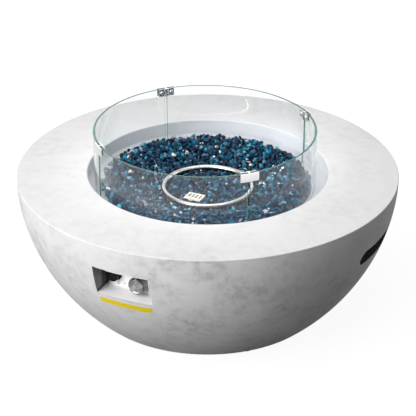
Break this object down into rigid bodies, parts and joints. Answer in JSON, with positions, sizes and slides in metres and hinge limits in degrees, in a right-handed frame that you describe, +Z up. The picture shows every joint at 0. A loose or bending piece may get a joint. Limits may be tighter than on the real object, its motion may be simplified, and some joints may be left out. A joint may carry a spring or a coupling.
{
  "type": "gas fire pit",
  "caption": "Round bowl-shaped concrete gas fire pit with a drop-in burner pan, a bed of fire glass, a curved glass wind guard and a front control recess.",
  "frame": {"origin": "on the ground under the bowl's centre, level with the underside of the rubber pads", "axes": "+Z up; -Y towards the user, where the control recess is; +X to the right as the user sees it"},
  "size_m": [1.08, 1.0797, 0.5368],
  "materials": {
    "concrete": "matte",
    "pad_rubber": "matte",
    "pan_steel": "satin",
    "fire_glass": "gloss",
    "burner_steel": "satin",
    "zinc_steel": "satin",
    "screw_steel": "satin",
    "cast_alloy": "matte",
    "brass": "satin",
    "corrugated_steel": "satin",
    "white_ceramic": "satin",
    "cage_steel": "satin",
    "pilot_aluminium": "satin",
    "copper": "satin",
    "wire_rubber": "matte",
    "liner_paint": "satin",
    "spring_steel": "satin",
    "knob_metal": "satin",
    "black_plastic": "matte",
    "battery_wrap": "gloss",
    "clip_rubber": "matte",
    "guard_glass": "gloss",
    "clip_metal": "satin"
  },
  "bodies": {
    "fire_bowl": {"air_mixer": "cast_alloy", "battery_cell": "battery_wrap", "bowl_shell": "concrete", "burner_feed": "burner_steel", "burner_legs": "burner_steel", "burner_locknuts": "zinc_steel", "burner_nipple": "zinc_steel", "burner_pan": "pan_steel", "burner_ring": "burner_steel", "burner_screws": "screw_steel", "control_box": "liner_paint", "control_panel": "liner_paint", "electrode_insulator": "white_ceramic", "electrode_wire": "burner_steel", "fire_glass_bed": "fire_glass", "flex_line_nuts": "brass", "foot_pads": "pad_rubber", "gas_elbow": "brass", "gas_flex_line": "corrugated_steel", "heat_shield": "zinc_steel", "igniter_housing": "black_plastic", "igniter_nut": "black_plastic", "igniter_spring": "spring_steel", "igniter_terminals": "brass", "igniter_wire": "wire_rubber", "inlet_fitting": "brass", "orifice_spud": "brass", "panel_nuts": "screw_steel", "pilot_bracket": "pan_steel", "pilot_cage": "cage_steel", "pilot_nozzle": "burner_steel", "pilot_screws": "screw_steel", "pilot_tube": "pilot_aluminium", "shield_screws": "screw_steel", "thermocouple": "burner_steel", "thermocouple_lead": "copper", "valve_body": "cast_alloy", "valve_screws": "screw_steel", "valve_spring": "spring_steel"},
    "push_washer": {"spring_seat": "zinc_steel"},
    "knob": {"control_knob": "knob_metal", "valve_stem": "brass"},
    "igniter_cap": {"igniter_button": "black_plastic"},
    "wind_guard": {"glass_panel_1": "guard_glass", "glass_panel_2": "guard_glass", "glass_panel_3": "guard_glass", "glass_panel_4": "guard_glass", "guard_clip_1": "clip_metal", "guard_clip_2": "clip_metal", "guard_clip_3": "clip_metal", "guard_clip_4": "clip_metal", "clip_pads": "clip_rubber", "clip_screws": "screw_steel"}
  },
  "joints": [
    {"name": "knob_push", "type": "slide", "parent": "fire_bowl", "child": "push_washer", "axis": [0, 1, 0], "range_m": [0, 0.0035], "stiffness_N_per_m": 1500, "springref_m": -0.004, "deforming": ["valve_spring"]},
    {"name": "knob_turn", "type": "hinge", "parent": "push_washer", "child": "knob", "pos_m": [0.026, -0.46, 0.282], "axis": [0, -1, 0], "range_deg": [0, 180]},
    {"name": "igniter_push", "type": "slide", "parent": "fire_bowl", "child": "igniter_cap", "axis": [0, 1, 0], "range_m": [0, 0.004], "stiffness_N_per_m": 1000, "springref_m": -0.003, "deforming": ["igniter_spring"]},
    {"name": "wind_guard_lift", "type": "slide", "parent": "fire_bowl", "child": "wind_guard", "axis": [0, 0, 1], "range_m": [0, 0.2]}
  ]
}
